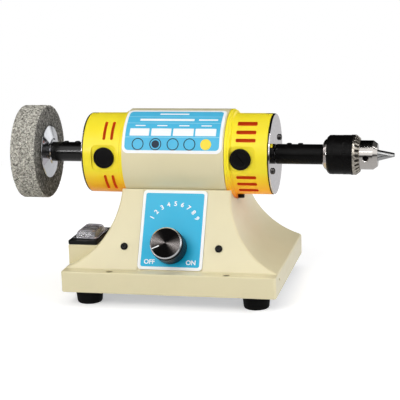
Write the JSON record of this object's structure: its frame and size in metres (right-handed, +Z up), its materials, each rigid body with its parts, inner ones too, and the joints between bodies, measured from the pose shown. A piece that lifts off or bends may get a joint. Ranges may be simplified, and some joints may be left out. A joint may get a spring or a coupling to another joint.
{
  "type": "bench buffer",
  "caption": "Small bench buffer: a universal motor on a flared casing, with a buffing wheel between flanges on one shaft end, a keyed jaw chuck on the other, speed knob and rocker switch.",
  "frame": {"origin": "on the bench, under the middle of the box round the whole object", "axes": "+X along the motor shaft towards the chuck, -Y is the front with the speed knob, +Z up"},
  "size_m": [0.3066, 0.14, 0.146],
  "materials": {
    "cream_paint": "glossy cream enamel",
    "yellow_paint": "glossy yellow enamel",
    "panel_film": "printed blue film with a pale border",
    "black_plastic": "satin black moulded plastic",
    "black_rubber": "matt black rubber",
    "dark_steel": "blackened steel",
    "clear_plastic": "clear flexible plastic",
    "steel": "machined steel",
    "bright_steel": "polished plated steel",
    "grey_plate": "light grey painted sheet",
    "copper": "turned copper",
    "enamelled_wire": "red-brown enamelled copper wire",
    "carbon": "pressed carbon",
    "circuit_board": "green circuit board",
    "abrasive_fibre": "grey non-woven abrasive fibre",
    "black_knob": "black anodised, turned face with a bright rim"
  },
  "bodies": {
    "casing": {"base_shell": "cream_paint", "bottom_plate": "steel", "foot_front_left": "black_rubber", "foot_rear_left": "black_rubber", "foot_front_right": "black_rubber", "foot_rear_right": "black_rubber", "cord_inlet": "black_rubber", "control_board": "circuit_board", "ledge_screw_left": "steel", "ledge_screw_right": "steel", "front_panel": "panel_film", "pot_body": "steel", "face_screw_left": "dark_steel", "face_screw_right": "dark_steel", "switch_bezel": "black_plastic", "switch_body": "black_plastic", "switch_cover": "clear_plastic", "left_end_bell": "yellow_paint", "left_gasket": "black_rubber", "left_end_plate": "grey_plate", "left_bearing": "bright_steel", "blind_plug_front": "black_plastic", "blind_plug_rear": "black_plastic", "right_end_bell": "yellow_paint", "right_gasket": "black_rubber", "right_end_plate": "grey_plate", "right_bearing": "bright_steel", "brush_cap_front": "black_plastic", "carbon_brush_front": "carbon", "brush_cap_rear": "black_plastic", "carbon_brush_rear": "carbon", "plate_screw_lower": "bright_steel", "plate_screw_upper": "bright_steel", "bell_clamp_screw": "dark_steel", "motor_drum": "cream_paint", "label_band": "panel_film", "stator_core": "steel", "field_coil_upper": "enamelled_wire", "field_coil_lower": "enamelled_wire"},
    "spindle": {"rotor_core": "steel", "rotor_winding": "enamelled_wire", "commutator": "copper", "cooling_fan": "black_plastic", "rotor_shaft": "steel", "left_adaptor": "dark_steel", "right_adaptor": "dark_steel", "inner_flange": "bright_steel", "buffing_wheel": "abrasive_fibre", "outer_flange": "bright_steel", "arbor_nut": "steel", "chuck_body": "bright_steel"},
    "sleeve": {"chuck_sleeve": "dark_steel", "chuck_nut_ring": "steel"},
    "jaw_1": {"chuck_jaw_1": "steel"},
    "jaw_2": {"chuck_jaw_2": "steel"},
    "jaw_3": {"chuck_jaw_3": "steel"},
    "knob": {"speed_knob": "black_knob", "pot_shaft": "steel"},
    "rocker": {"switch_rocker": "black_plastic"}
  },
  "joints": [
    {"name": "spindle_spin", "type": "hinge", "parent": "casing", "child": "spindle", "pos_m": [-0.0123, 0.00062, 0.1085], "axis": [1, 0, 0], "continuous": true},
    {"name": "sleeve_turn", "type": "hinge", "parent": "spindle", "child": "sleeve", "pos_m": [0.0986, 0.00062, 0.1085], "axis": [1, 0, 0], "range_deg": [0, 2590]},
    {"name": "jaw_1_slide", "type": "slide", "parent": "spindle", "child": "jaw_1", "axis": [-0.9659, -0.1485, 0.212], "range_m": [0, 0.0108]},
    {"name": "jaw_2_slide", "type": "slide", "parent": "spindle", "child": "jaw_2", "axis": [-0.9659, 0.2578, 0.0226], "range_m": [0, 0.0108]},
    {"name": "jaw_3_slide", "type": "slide", "parent": "spindle", "child": "jaw_3", "axis": [-0.9659, -0.1094, -0.2346], "range_m": [0, 0.0108]},
    {"name": "knob_turn", "type": "hinge", "parent": "casing", "child": "knob", "pos_m": [-0.0123, -0.0483, 0.04346], "axis": [0, 0.8854, -0.4648], "range_deg": [0, 260]},
    {"name": "rocker_tilt", "type": "hinge", "parent": "casing", "child": "rocker", "pos_m": [-0.0843, -0.02273, 0.0466], "axis": [-1, 0, 0], "range_deg": [0, 20]}
  ],
  "couplings": [
    {"joint": "jaw_1_slide", "follows": "sleeve_turn", "m_per_rad": 0.00023873},
    {"joint": "jaw_2_slide", "follows": "sleeve_turn", "m_per_rad": 0.00023873},
    {"joint": "jaw_3_slide", "follows": "sleeve_turn", "m_per_rad": 0.00023873}
  ]
}
